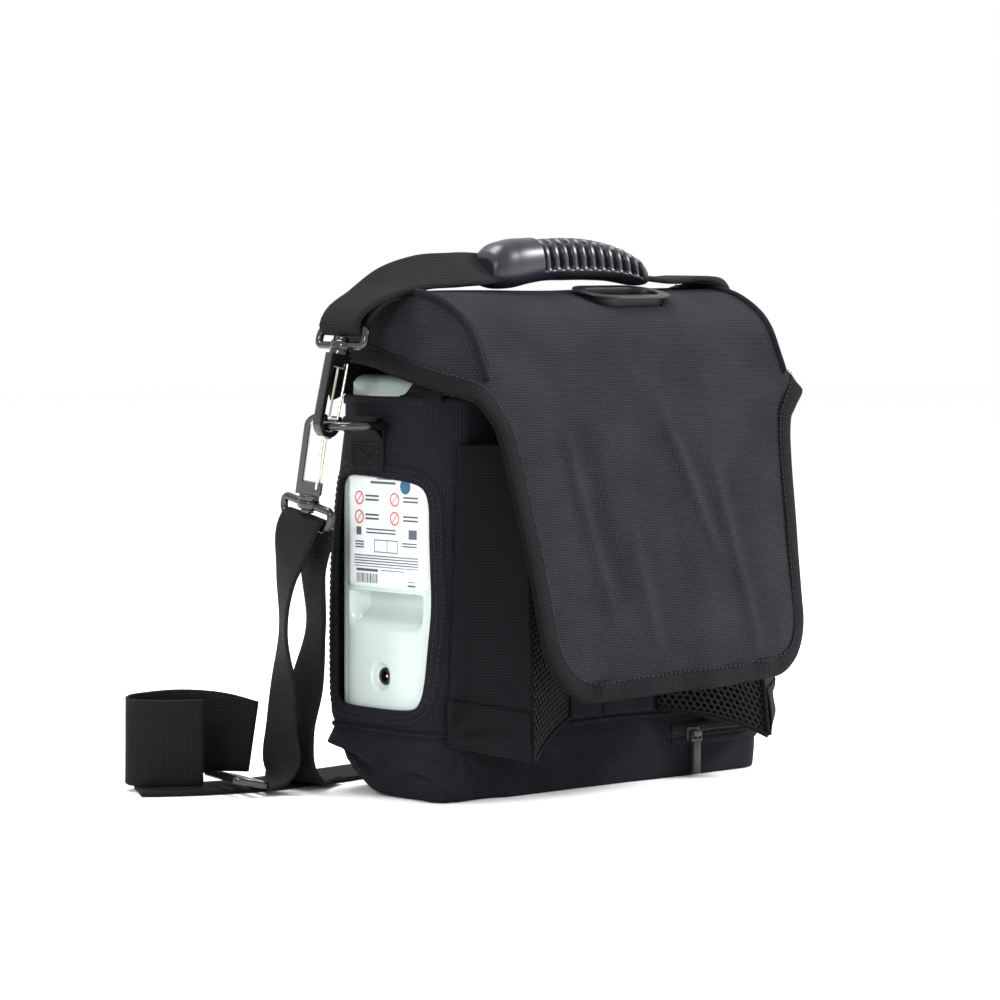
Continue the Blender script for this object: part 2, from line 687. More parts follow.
FACING_SECTION = np.array([(0, -2.2), (0.03, -0.4), (0.1, 0.9), (0.25, 1.0), (0.45, 0.9), (0.7, 0.8),
                           (0.9, 0.3), (1.0, -0.8)])  # share of the width, and lift in mm
loop, away = smooth_loop(FACING, 170)
loop = loop * MM
for side, s in SIDES:
    uz = loop + away * (FACING_SECTION[:, 0] * FACING_WIDTH)[:, None, None]
    lifts = np.tile(FACING_SECTION[:, 1:] * MM, (1, len(loop)))
    pts, _ = on_bag_side(uz[..., 0], uz[..., 1], s, lifts)
    facing = grid(f"window_facing_{side}", pts, close_cols=True)
    face_out(facing, lambda c: (s, 0, 0))
    facing = modify(facing, "SOLIDIFY", thickness=0.0009, offset=-1.0)
    dress(facing, "wall")
    for k, w in enumerate((0.36, 0.72)):
        uz = loop + away * (w * FACING_WIDTH)
        uz = np.vstack([uz, uz[:1]])
        stitches(f"window_stitches_{side}_{k}", *on_bag_side(*uz.T, s, np.full(len(uz), 0.0007)))

# ---- flap: crown, ears and front drape in one cut of cloth
# y and z down the flap's middle, the ears' rim, and half the drape's width below the fold, in mm
PROFILE = [(57.5, 253.5), (58.3, 286), (47, 305.5), (24, 317), (-12, 320), (-44, 314), (-68, 298.5),
           (-81, 275), (-88.5, 257), (-94, 240), (-104, 195), (-114, 150), (-121, 120), (-127, 92),
           (-130, 66)]
EAR_RIM = [(138, 58.5, 250), (144.5, 56, 262), (148, 42, 275), (149, 15, 275), (149, -25, 266),
           (148.5, -60, 259), (147.5, -86, 254)]
HALF_WIDTH = [(0, 147.5), (10, 141), (24, 136), (60, 131), (120, 124), (205, 117)]
CROWN_HALF, FLAP_CORNER, EAR_COLS, FLAP_T = 0.133, 0.04, 16, 0.0022
STEP = 0.003

line = resample([(0, y * MM, z * MM) for y, z in PROFILE], 0.0005)
line_s = arc_length(line)
front = line_s > 0.03
fold_s = np.interp(0.0855, -line[front, 1], line_s[front])  # where the ears end and the drape starts
total_s = line_s[-1]
plain = np.arange(0, total_s - FLAP_CORNER, STEP)
turn = [total_s - FLAP_CORNER * (1 - math.sin(t)) for t in np.linspace(0, math.pi / 2, 15)]
row_s = np.r_[plain[plain < turn[0] - 0.4 * STEP], turn]
fold_row = int(np.argmin(np.abs(row_s - fold_s)))
row_s[fold_row] = fold_s
ear_rim = resample(np.array(EAR_RIM, float) * MM, 0, count=fold_row + 1)
crown_cols = int(2 * CROWN_HALF / STEP) + 1
width_s, width_h = np.array(HALF_WIDTH, float).T * MM
ear_drop = points_at(line, line_s, fold_s)[2] - ear_rim[-1][2]  # the drape's sides take this up


def crown_row(i, s):
    """A row over the crown, with an ear that bows out from each of its ends."""
    _, y, z = points_at(line, line_s, s)
    edge, low = np.array([CROWN_HALF, y, z]), ear_rim[i]
    t = np.linspace(0, 1, EAR_COLS + 1)[1:, None]
    bow = np.array([1, 0, 0.35]) * 0.16 * np.linalg.norm(low - edge)
    ear = edge + (low - edge) * t + bow * t * (1 - t)
    crown = [(x, y, z) for x in np.linspace(-CROWN_HALF, CROWN_HALF, crown_cols)]
    return np.vstack([ear[::-1] * (-1, 1, 1), crown, ear])


def drape_row(s):
    """A row down the front, narrowing to the rounded lower corners."""
    d, up_s = s - fold_s, total_s - s
    outer = np.interp(d, width_s, width_h)
    if up_s < FLAP_CORNER:
        outer -= FLAP_CORNER - math.sqrt(FLAP_CORNER**2 - (FLAP_CORNER - up_s) ** 2)
    inner = min(CROWN_HALF * (1 - 0.02 * d / 0.05), outer * 0.905)
    side_xs = np.linspace(inner, outer, EAR_COLS + 1)[1:]
    xs = np.r_[-side_xs[::-1], np.linspace(-inner, inner, crown_cols), side_xs]
    sag = ear_drop * (1 - ramp(d, 0, 0.045)) * ramp((np.abs(xs) - inner) / (outer - inner), 0, 1)
    row = points_at(line, line_s, s + sag)
    row[:, 0] = xs - 0.004 * ramp(xs, 0.1, 0.13) * ramp(d, 0.0, 0.03)
    row[:, 2] += 0.006 * ramp(xs, -0.1, 0.14) * ramp(d, 0.06, 0.2)
    return row


flap_pts = np.array([crown_row(i, s) if i <= fold_row else drape_row(s) for i, s in enumerate(row_s)])
drop = np.maximum(0.0, row_s - fold_s)[:, None]
on_drape = ramp(drop, 0.0, 0.05)
fx, fz = flap_pts[:, :, 0], flap_pts[:, :, 2]
bulge = 0.0045 * noise_at(flap_pts, (13, 3, 4.5), 3.0) + 0.0045 * noise_at(flap_pts, (22, 4, 3.2), 31.0)
bulge += 0.0018 * noise_at(flap_pts, (34, 12, 12), 7.0)
# long creases that fan down from the port: top x, z and bottom x, z, depth, in mm
CREASES = ((-80, 240, -58, 112, 2.4), (2, 268, 38, 150, 2.6),
           (48, 215, 62, 84, 2.2), (-34, 176, -26, 88, 1.6))
for x0, z0, x1, z1, depth in CREASES:
    t = np.clip((z0 * MM - fz) / ((z0 - z1) * MM), 0, 1)
    off = fx - (x0 + (x1 - x0) * t) * MM
    bulge += depth * MM * (bell(off, 0.0055) - 0.7 * bell(off - 0.012, 0.008)) * np.sqrt(np.sin(math.pi * t))
bulge -= 0.006 * (np.abs(fx) / 0.13) ** 2.2 * ramp(drop, 0.05, 0.2)  # the sides curl back
heave = (drop <= 0) * 0.0012 * noise_at(flap_pts, (16, 16, 4), 55.0)
heave += 0.0035 * on_drape * noise_at(flap_pts * (1, 0, 0), (9, 1, 1), 91.0) * ramp(drop, 0.12, 0.2)
flap_pts[:, :, 1] -= on_drape * bulge
flap_pts[:, :, 2] += heave


def in_port(c):
    """True inside the slot that the port's rim frames, on the crown."""
    return c.z > 0.3 and math.hypot(max(0, abs(c.x - PORT.x) - 0.017), c.y - PORT.y) < 0.0155


flap = edit_mesh(grid("flap_cloth", flap_pts), without_faces(in_port), even_normals)
face_out(flap, lambda c: (0, -1, 0) if c.z < 0.24 else (0, 0, 1 if c.z > 0.31 else 0))
flap_tree = surface_tree(flap)
flap = modify(flap, "SOLIDIFY", thickness=FLAP_T, offset=-1.0)
dress(flap, "flap", ("flap_top", "flap_front"), body=None)

# the bound and stitched edge, from the back seam down one side, along the bottom and up the other
flap_n = unit(np.cross(np.gradient(flap_pts, axis=1), np.gradient(flap_pts, axis=0)))
last_i, last_j = flap_pts.shape[0] - 1, flap_pts.shape[1] - 1
if flap_n[fold_row // 2, (last_j + 1) // 2, 2] < 0:
    flap_n = -flap_n
edge_at = [(i, 0) for i in range(last_i + 1)] + [(last_i, j) for j in range(1, last_j + 1)]
edge_at += [(i, last_j) for i in range(last_i - 1, -1, -1)]
edge_rows = []
for i, j in edge_at:
    p = flap_pts[i, j]
    if not edge_rows or np.linalg.norm(p - edge_rows[-1][:3]) > 0.0018:
        inner = flap_pts[min(i, last_i - 5), min(max(j, 6), last_j - 6)]
        edge_rows.append(np.r_[p, inner - p, flap_n[i, j]])
edge_rows = resample(edge_rows, 0.0026)
for _ in range(3):
    edge_rows[1:-1, 3:] = (edge_rows[:-2, 3:] + 2 * edge_rows[1:-1, 3:] + edge_rows[2:, 3:]) / 4
edge, edge_in, edge_n = np.split(edge_rows, 3, axis=1)
run = unit(np.gradient(edge, axis=0))
edge_n = unit(edge_n - (edge_n * run).sum(1, keepdims=True) * run)
square_in = unit(np.cross(edge_n, run))
square_in[(square_in * edge_in).sum(1) < 0] *= -1
BIND_W, BIND_UP, BIND_LOW = 0.0122, 0.0019, -FLAP_T - 0.0016
BIND_SECTION = [
    (0.0005, BIND_UP * 0.45, 0), (0.0025, BIND_UP * 0.85, 0.0025), (0.0055, BIND_UP, 0.0055),
    (0.0092, BIND_UP * 0.85, 0.0095), (0.0113, BIND_UP * 0.4, 0.0115), (BIND_W, -0.0004, BIND_W),
    (BIND_W, -FLAP_T - 0.0002, 0.015), (0.0095, BIND_LOW, 0.018), (0.003, BIND_LOW, 0.024),
    (0.0005, BIND_LOW * 0.8, 0.027), (-0.0012, -FLAP_T / 2, 0.029),
]
binding = sweep("flap_binding", edge, square_in, edge_n, BIND_SECTION)
dress(binding, "binding", body=None)
thread_line = edge + square_in * 0.0112 + edge_n * BIND_UP * 0.8
flap_thread = stitches("flap_edge_stitches", thread_line, edge_n, body=None)
for o in (flap, binding, flap_thread):
    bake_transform(o)

# raised seams where the ears join the crown, and where the flap is sewn to the back wall
for side, s in SIDES:
    ear_seam = resample(flap_pts[: fold_row + 1, EAR_COLS if s < 0 else last_j - EAR_COLS], 0.003)
    ear_seam += (s * 0.0008, 0, 0.0008)
    dress(tube(f"ear_seam_{side}", ear_seam, 0.002, 10), "wall")
    pts, away = snap(flap_tree, ear_seam + (-s * 0.0048, 0, 0.004), (0, 0, -1), 0.0001)
    stitches(f"ear_stitches_{side}", pts[6:-2], away[6:-2])
back = flap_pts[0, EAR_COLS : last_j + 1 - EAR_COLS : 4]
back_path = resample(back + (0, 0.0012, 0.006), 0.004)
dress(tube("back_seam", back_path, 0.0012), "flap")
for k in range(2):
    above_seam = back_path + (0, 0.0108, 0.004 + 0.006 * k)
    stitches(f"back_stitches_{k}", *snap(flap_tree, above_seam, (0, -1, 0), 0.0001))

# ---- front pockets
# the upright edges' lower and upper ends, in mm, on the left side
P_SIDE = ((-140, -55.4, 36), (-134, -59.2, 224))
P_FRONT = ((-107, -97.5, 27), (-98, -80, 224))
P_NET = ((-106.4, -97.5, 27), (-97.4, -80, 224))
P_SEAM = ((-40, -60.4, 47), (-40, -60.4, 224))
CUFF_TOP = 0.17  # share of the gusset's height that is doubled at the bottom
HEX = 0.0042  # width of the net's cells
NET_W, NET_H = 0.07, 0.186


def mirror(p, s):
    return np.array(p, float) * (-s, 1, 1)


def between(edge_a, edge_b, u, v):
    """Points between two upright edges, u across and v up, both from 0 to 1."""
    (la, ha), (lb, hb) = (np.array(e, float) * MM for e in (edge_a, edge_b))
    u, v = u[..., None], v[..., None]
    return (la * (1 - u) + lb * u) * (1 - v) + (ha * (1 - u) + hb * u) * v


def taut(name, pts, thick, material, slot, flat, rests_on="bag_body", stands_for=(), **sheet):
    """A sheet of the given thickness over points, held stretched on what it rests on."""
    o = modify(grid(name, pts), "SOLIDIFY", thickness=thick, offset=0.0)
    dress(o, material, stands_for)


def net_point(u, v, s):
    """Places on the pocket's net, which swells forward and whose lower edge sweeps up."""
    p = between(P_NET, P_SEAM, u, v)
    p[..., 2] += 0.012 * np.sin(math.pi * u * 0.5) * (1 - u) * (1 - v)
    swell = 0.0055 * np.sin(math.pi * np.clip(u * 1.05, 0, 1)) * np.sin(math.pi * (0.1 + 0.9 * v))
    return mirror(p + np.array([-0.45, -0.89, 0]) * swell[..., None], s)


def hex_net(name, s, thick):
    """Knitted net with real rounded holes, a ring of 12 faces round each."""
    angle = np.arange(0, 360, 30)
    turn = np.stack([np.cos(np.radians(angle)), np.sin(np.radians(angle))], axis=1)
    to_edge = HEX / 2 / np.cos(np.radians((angle + 30) % 60 - 30))
    cell = np.vstack([turn * to_edge[:, None], turn * (0.94, 1.06) * HEX * 0.335])
    row = HEX * 0.866
    verts, faces = [], []
    for j in range(int(NET_H / row)):
        for i in range(int(NET_W / HEX)):
            x = (i + 0.5 + 0.5 * (j % 2)) * HEX
            if 0.3 * HEX < x < NET_W - 0.3 * HEX:
                faces += quads(2, 12, len(verts))
                verts += list(cell + (x, (j + 0.5) * row))
    flat = np.clip(verts, 0, (NET_W, NET_H))
    o = piece(name, net_point(flat[:, 0] / NET_W, flat[:, 1] / NET_H, s), faces, flat)
    edit_mesh(o, lambda bm: bmesh.ops.remove_doubles(bm, verts=bm.verts, dist=4e-5), even_normals)
    return modify(o, "SOLIDIFY", thickness=thick, offset=0.0)


for side, s in SIDES:
    u, v = np.meshgrid(np.linspace(0, 1, 28), np.linspace(0, 1, 90))
    p = between(P_SIDE, P_FRONT, u, v)
    out = unit(np.cross(p[0, -1] - p[0, 0], p[-1, 0] - p[0, 0]))
    bulge = (-0.002 if s < 0 else 0.011) * np.sin(math.pi * u) * np.sin(math.pi * (0.08 + 0.92 * v))
    gu, gv = 0.054 * u, 0.19 * v - 0.004
    reach = np.hypot(gu, gv)
    rays = np.sin(10 * np.arctan2(gv, gu + 0.001)) * ramp(reach, 0.004, 0.018) * ramp(0.06 - reach, 0.0, 0.04)
    pts = mirror(p + out * (bulge + 0.0019 * rays)[..., None], s)
    gusset = f"pocket_elastic_{side}"
    stands_for = f"pocket_gusset_{side}"
    taut(gusset, pts, 0.0014, "elastic", "elastic", (0.054, 0.19), stands_for=stands_for)
    rows = int(len(pts) * CUFF_TOP)
    proud = 0.0016 + 0.0012 * np.sin(np.linspace(0, math.pi, rows))
    cuff_pts = pts[:rows] + mirror(out, s) * proud[:, None, None]
    taut(f"pocket_cuff_{side}", cuff_pts, 0.0012, "elastic", "elastic", (0.054, 0.03), gusset)
    dress(tube(f"pocket_hem_{side}", resample(pts[-1], 0.003), 0.0011), "elastic")

    net = hex_net(f"pocket_net_{side}", s, 0.0009)
    dress(net, "mesh", f"pocket_mesh_{side}")
    hem_pts = net_point(*np.meshgrid(np.linspace(0, 0.27, 10), np.linspace(0, 1, 50)), s)
    hem_pts += mirror((0.0007, 0.0014, 0), s)
    taut(f"net_selvedge_{side}", hem_pts, 0.0007, "elastic", "mesh_fabric", (0.02, 0.19), net.name)
    u, v = np.linspace(0, 1, 28), np.linspace(0, 1, 40)
    low = net_point(u, 0 * u, s)
    for name, path, r in (("lower", low, 0.0017), ("front", net_point(0 * v, v, s), 0.0018),
                          ("top", net_point(u, 0 * u + 1, s), 0.0018)):
        dress(tube(f"net_{name}_binding_{side}", path, r), "binding")
    sewn = np.column_stack([low[:, 0], np.full(len(low), -0.0605), np.maximum(low[:, 2], 0.036)])
    floor_pts = [low * (1 - k) + sewn * k for k in np.linspace(0.04, 1, 10)]
    taut(f"pocket_floor_{side}", floor_pts, 0.0012, "base", "bag_fabric", (0.075, 0.037), area=0.0015)

gx, gz = np.meshgrid(np.linspace(panel_lo.x, panel_hi.x, 30), np.linspace(panel_lo.z, panel_hi.z, 60))
panel = np.stack([gx, np.full(gx.shape, (panel_lo.y + panel_hi.y) / 2), gz], axis=2)
panel[..., 1] += 0.0006 * noise_at(panel, (20, 0, 9), 14.0)
stands_for = "pocket_centre_panel"
taut("pocket_centre_cloth", panel, 0.0014, "wall", "bag_fabric", (0.074, 0.178), stands_for=stands_for)
mid_seam = [(-0.008, panel_lo.y + 0.0001, z) for z in np.linspace(panel_lo.z, panel_hi.z, 40)]
dress(tube("centre_panel_seam", mid_seam, 0.0008, 6), "wall")

# ---- zipper
PROUD = 0.0012  # how far the zipper lies outside the bag body's outline
zip_ring = round_rect_path(BAG_X + PROUD, BAG_Y + PROUD, CORNER + PROUD, 0.0015, (tape_lo.z + tape_hi.z) / 2)
zip_ring = zip_ring[(zip_ring[:, 0] > tape_lo.x) & (zip_ring[:, 1] < -0.0115)]
zip_ring = zip_ring[np.argsort(np.arctan2(zip_ring[:, 1] + 0.02, zip_ring[:, 0]))]
zip_out = outward(zip_ring)
zip_s = arc_length(zip_ring)
gape = 0.0008 * ramp(zip_ring[:, 0], 0.076, 0.092) * ramp(0.135 - zip_ring[:, 0], 0, 0.03)
LIP = [(-0.0012, -0.0032, 0), (0.0008, -0.0032, 0.002), (0.0022, -0.0008, 0.0045),
       (0.002, 0.0014, 0.007), (0.0006, 0.0032, 0.0095), (-0.0012, 0.0034, 0.0115)]
lip_at = np.outer(0.0040 + gape, UP)
lips = [sweep(f"zip_lip_{s}", zip_ring + s * lip_at, zip_out, UP, LIP) for s in (1, -1)]
dress(join(lips, "zipper_tapes"), "zip_tape", "zipper_tape")
coil = []
for s in (1, -1):
    for q in np.arange(0.001, zip_s[-1] - 0.001, 0.0019) + (0.00095 if s > 0 else 0):
        *c, ox, oy, oz, g = points_at(np.column_stack([zip_ring, zip_out, gape]), zip_s, q)
        away = np.array([ox, oy, oz])
        a = c + np.array([0, 0, s * (0.0024 + g)]) - away * 0.0002
        b = c + np.array([0, 0, s * (g - 0.0002)]) - away * 0.0001
        crest = (a + b) / 2 + away * 0.0008
        square = unit(np.cross(b - a, crest - a))
        coil.append([ring_round(p, 0.0006, square, unit(np.cross(square, b - a))) for p in (a, crest, b)])
dress(rods("zipper_coil", coil), "zip_metal")
# stitched patch edge beside the zipper
patch_edge = np.array([(tape_lo.x - 0.006, -BAG_Y - 0.01, z) for z in np.linspace(0.006, SEAM_Z - 0.004, 24)])
for k, dx in enumerate((0.0, 0.0035)):
    stitches(f"patch_stitches_{k}", *snap(bag_tree, patch_edge + (dx, 0, 0), (0, 1, 0)))


# ---- hard pieces that keep the CAD shape, with softened edges
def softened(node, name, material, width, segments=2, body="root"):
    limits = {"limit_method": "ANGLE", "angle_limit": math.radians(30), "use_clamp_overlap": True}
    o = modify(copy_of(node, name), "BEVEL", width=width, segments=segments, **limits)
    return dress(smooth_by_angle(o, 40), material, node, body)


for side, _ in SIDES:
    softened(f"d_ring_{side}", f"ring_{side}", "black", 0.0001, 1)
    for tag in (f"upper_{side}", f"lower_{side}"):
        softened(f"hook_{tag}", f"snap_hook_{tag}", "black", 0.0011, 3, f"hook_{tag}_swivel")
        softened(f"gate_{tag}", f"wire_gate_{tag}", "wire", 0.0001, 1, f"gate_{tag}_wire")
softened("zipper_slider", "slider", "zip_metal", 0.0006, body="zip_slider")
softened("zipper_pull", "pull_tab", "zip_metal", 0.0005, body="zip_pull")
softened("cannula_grommet", "port_rim", "rim", 0.0008)
softened("strap_buckle", "slide_buckle", "black", 0.0012, 3)
softened("unit_top_cover", "top_cover", "unit", 0.0008)
softened("battery_case", "battery_pack", "battery", 0.0008)
softened("battery_latch", "latch_key", "key", 0.0007, body="latch")
softened("control_panel", "keypad_plate", "panel", 0.0006)
softened("cannula_nozzle", "outlet_nipple", "fitting", 0.0004)
softened("exhaust_grille", "grille", "unit", 0.0004)
for key in ("power", "flow_up", "flow_down", "alert"):
    softened(f"{key}_button", f"{key}_cap", "key", 0.0006, body=f"{key}_key")
INNER = {
    "dc_jack_socket": "socket", "dc_jack_pin": "contact", "battery_cells": "cells",
    "compressor_case": "alloy", "valve_manifold": "alloy", "compressor_rotor": "rotor",
    "sieve_beds": "tubes", "circuit_board": "board", "fan_frame": "socket", "fan_rotor": "socket",
}
for node, material in INNER.items():
    nodes[node].data.materials.clear()
    nodes[node].data.materials.append(M[material])

# ---- strap loops of the hooks: rounded D-shaped bars
RING = np.array([-150.8, 12, 236]) * MM  # middle of the left D-ring's bar
RING_LEG, RING_R = 0.0098, 0.021
UPPER, LOWER = (0, 0, 14, 0), (54, 12, 0, 180)  # place round the D-ring, lean about X and Y, turn over
LOOP_BASE, LOOP_BAR = 0.0473, 0.005
LOOP_TOP = LOOP_BASE + 0.013 + LOOP_BAR / 2  # middle of the bar that the webbing passes over


def loop_matrix(hook, s):
    """Place of a hook's swivel loop, mirrored on the right side."""
    round_ring, lean_x, lean_y, over = (math.radians(d) for d in hook)
    out = (-RING_LEG - RING_R * math.cos(round_ring), RING_R * math.sin(round_ring), 0)
    m = Matrix.Translation(Vector(RING) + Vector(out)) @ Matrix.Rotation(lean_y, 4, "Y")
    m = m @ Matrix.Rotation(lean_x + over, 4, "X") @ Matrix.Translation((0, 0, 0.0015))
    return (Matrix.Scale(-1, 4, (1, 0, 0)) if s > 0 else Matrix.Identity(4)) @ m


def strap_bar_loop(name, inner, hook, s, node):
    """A D-shaped bar with tight lower and wide upper corners, on a hub."""
    hy, z0, z1 = inner / 2 + LOOP_BAR / 2, LOOP_BASE + 0.0029, LOOP_TOP
    r0, r1 = 0.0035, 0.0075
    outline = []
    for cy, cz, r, start in ((hy - r1, z1 - r1, r1, 0), (-hy + r1, z1 - r1, r1, 90),
                             (-hy + r0, z0 + r0, r0, 180), (hy - r0, z0 + r0, r0, 270)):
        for a in np.radians(np.linspace(start, start + 90, 8)):
            outline.append((0, cy + r * math.cos(a), cz + r * math.sin(a)))
    path = np.array(outline)
    run = unit(np.roll(path, -1, axis=0) - np.roll(path, 1, axis=0))
    side = (1.0, 0.0, 0.0)
    bar = sweep(name, path, side, np.cross(run, side), round_section(LOOP_BAR / 2 * 1.02, 14), closed=True)
    hub = [(2.9, 0, 1), (5.8, -0.2, 1.25), (6.4, 1.2, 1.25), (6.4, 4.6, 1.25), (5.6, 5.8, 1.25), (2.9, 6, 1)]
    spin = np.linspace(0, 2 * math.pi, 24, endpoint=False)
    rows = [
        [(r * MM * math.cos(t), r * MM * wide * math.sin(t), LOOP_BASE + z * MM) for t in spin]
        for r, z, wide in hub + hub[:1]
    ]
    o = join([bar, grid(f"{name}_hub", rows, close_cols=True)], name)
    o.data.transform(loop_matrix(hook, s))
    return dress(edit_mesh(o, even_normals), "black", node)


for side, s in SIDES:
    strap_bar_loop(f"swivel_loop_upper_{side}", 0.039, UPPER, s, f"loop_upper_{side}")
    strap_bar_loop(f"swivel_loop_lower_{side}", 0.041, LOWER, s, f"loop_lower_{side}")


# ---- webbing
def ribbon(name, stations, thick, wobble, seed):
    """Flat webbing through stations of x, y, z, the width's direction and the width, in mm."""
    rows = np.array(stations, float)
    rows[:, 3:6] = unit(rows[:, 3:6])
    rows[:, (0, 1, 2, 6)] *= MM
    rows = resample(rows, 0.003)
    centres, width = rows[:, :3], rows[:, 6]
    side, up = frames_along(centres, rows[:, 3:6])
    run = arc_length(centres)
    tilt = np.array([noise.noise((q * 28, seed, 0)) for q in run])[:, None]
    arch = np.array([noise.noise((q * 40, seed + 9, 0)) for q in run])[:, None]
    section = np.stack([flat_section(w, thick, 12) for w in width])
    share = section[..., 0] / (width[:, None] / 2)
    height = section[..., 1] + wobble * (tilt * share + arch * (1 - share**2))
    pts = centres[:, None] + section[..., :1] * side[:, None] + height[..., None] * up[:, None]
    resting = 0.0003 + (pts[..., 2] > centres[:, None, 2]) * thick * 0.8
    pts[..., 2] = np.maximum(pts[..., 2], resting)
    return strip(name, pts, section[..., 2] + 0.1, run), round(float(run[-1]), 3)


def round_bar(hook, s, angles, width, gap=1.4):
    """Stations round a loop's bar; an angle of 0 points up and 90 points away from the bag."""
    m = loop_matrix(hook, s)
    centre = np.array(m @ Vector((0, 0, LOOP_TOP))) / MM
    axis = unit(np.array(m.to_3x3() @ Vector((0, 1, 0))))
    axis *= np.sign(axis[1])
    up = unit(np.array(UP) - axis * axis[2])
    out = unit(np.cross(axis, up))
    out *= np.sign(out[0]) * s
    r = LOOP_BAR / 2 / MM + gap
    places = [centre + r * (math.cos(a) * up + math.sin(a) * out) for a in np.radians(angles)]
    return [(*p, *axis, width) for p in places]


OVER_UPPER = (55, 90, 135, 180, 225, 270)
HANDLE_LEFT = [
    (-58, -12, 335, 0, 0.8, 0.6, 26), (-74, -12, 334.5, 0, 0.78, 0.62, 31),
    (-96, -12, 333.5, 0, 0.7, 0.71, 29), (-120, -9, 332, 0, 0.8, 0.6, 31),
    (-141, -2, 326, 0, 0.93, 0.35, 35), (-156, 5, 316.5, 0, 1, 0, 38),
    *round_bar(UPPER, -1, OVER_UPPER, 38, 1.9),
    (-150, 5, 315.5, 0, 1, 0, 38), (-140, 2, 321.5, 0, 0.95, 0.2, 37),
]
HANDLE_RIGHT = [
    (60, -12, 329, 0, 1, 0.1, 15), (84, -11.5, 326.6, 0, 1, 0.1, 24), (98, -10, 326, 0, 1, 0.05, 30),
    (122, -8, 327, 0, 1, 0, 38), (142, -2, 324, 0, 1, 0, 38), (156, 5, 315.5, 0, 1, 0, 38),
    *round_bar(UPPER, 1, OVER_UPPER, 38, 1.9),
    (150, 5, 314.5, 0, 1, 0, 38), (140, 2, 319, 0, 1, 0, 37),
]
for side, stations, s in (("left", HANDLE_LEFT, -1), ("right", HANDLE_RIGHT, 1)):
    web, length = ribbon(f"handle_web_{side}", stations, 0.0036, 0.0012, 5.0 + s)
    dress(web, "handle_web", f"handle_webbing_{side}", body=None)
    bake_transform(web)

STRAP_HANG = [
    (-190, 66, 4.2, 0.5, 0.85, 0, 42), (-183.5, 62.5, 6.5, 0.42, 0.9, 0, 41), (-180, 60, 18, 0.1, 1, 0, 40),
    (-181, 57, 42, 0.2, 1, 0, 38), (-181, 55, 74, 0.3, 0.95, 0, 36), (-182, 54, 106, 0.56, 0.83, 0, 34),
    (-181, 52, 140, 0.35, 0.94, 0, 36),
    *round_bar(LOWER, -1, (80, 40, 0, -40, -80), 38, 2.6),
    (-164, 46, 140, 0.3, 1, 0, 36), (-159, 49, 106, 0.34, 0.94, 0, 33), (-162, 54, 70, 0.1, 1, 0, 34),
    (-165, 60, 38, 0.1, 1, 0, 36), (-166, 63, 17, -0.1, 1, 0, 40), (-161, 67, 6.5, -0.4, 0.9, 0, 42),
    (-150, 75, 4.4, -0.55, 0.83, 0, 44), (-136, 83, 4.2, -0.4, 0.9, 0, 46),
]
STRAP_LOOP = [
    (-172, 96, 32, 0.1, 0, 1, 46), (-188, 112, 35, 0, 0, 1, 52), (-206, 126, 35, 0, 0, 1, 56),
    (-226, 137, 34, 0, 0, 1, 56), (-241, 138, 33, 0, 0, 1, 56), (-249, 128, 32, 0, 0, 1, 56),
    (-245, 114, 32, 0, 0, 1, 56), (-234, 102, 32, 0, 0, 1, 56), (-218, 91, 32, 0, 0, 1, 56),
]
STRAP_FLOOR = [
    (-250, 118, 1.9, 0.5, 1, 0, 46), (-222, 101, 1.9, 0.5, 1, 0, 46), (-184, 90, 1.9, 0.2, 1, 0, 46),
    (-140, 90, 1.9, 0, 1, 0, 46), (-80, 98, 1.9, -0.1, 1, 0, 46), (0, 105, 1.9, 0, 1, 0, 46),
    (80, 102, 1.9, 0.1, 1, 0, 46), (140, 90, 1.9, 0.2, 1, 0, 46), (176, 84, 1.9, 0.2, 1, 0, 46),
]
STRAP_RIGHT = [
    (169, 48, 152, 0, 1, 0, 38), *round_bar(LOWER, 1, (-100, -50, 0, 45, 80), 38),
    (176, 50, 140, 0, 1, 0, 40), (175, 52, 100, -0.1, 1, 0, 42), (175, 56, 60, 0, 1, 0, 44),
    (176, 60, 24, 0.1, 1, 0, 44), (174, 63, 9, 0.35, 0.93, 0, 44), (167, 68, 4.4, 0.55, 0.83, 0, 45),
    (154, 77, 4.2, 0.4, 0.9, 0, 46),
]


def strap(name, node, stations, thick, wobble, seed):
    o, length = ribbon(name, stations, thick, wobble, seed)
    dress(o, "webbing", node)


strap("strap_over_loop", "strap_hanging", STRAP_HANG, 0.0024, 0.0012, 2.0)
strap("strap_standing_loop", "strap_loop", STRAP_LOOP, 0.0026, 0.0006, 11.0)
strap("strap_on_floor", "strap_floor", STRAP_FLOOR, 0.0024, 0.0003, 15.0)
strap("strap_right_riser", "strap_right", STRAP_RIGHT, 0.0024, 0.001, 19.0)

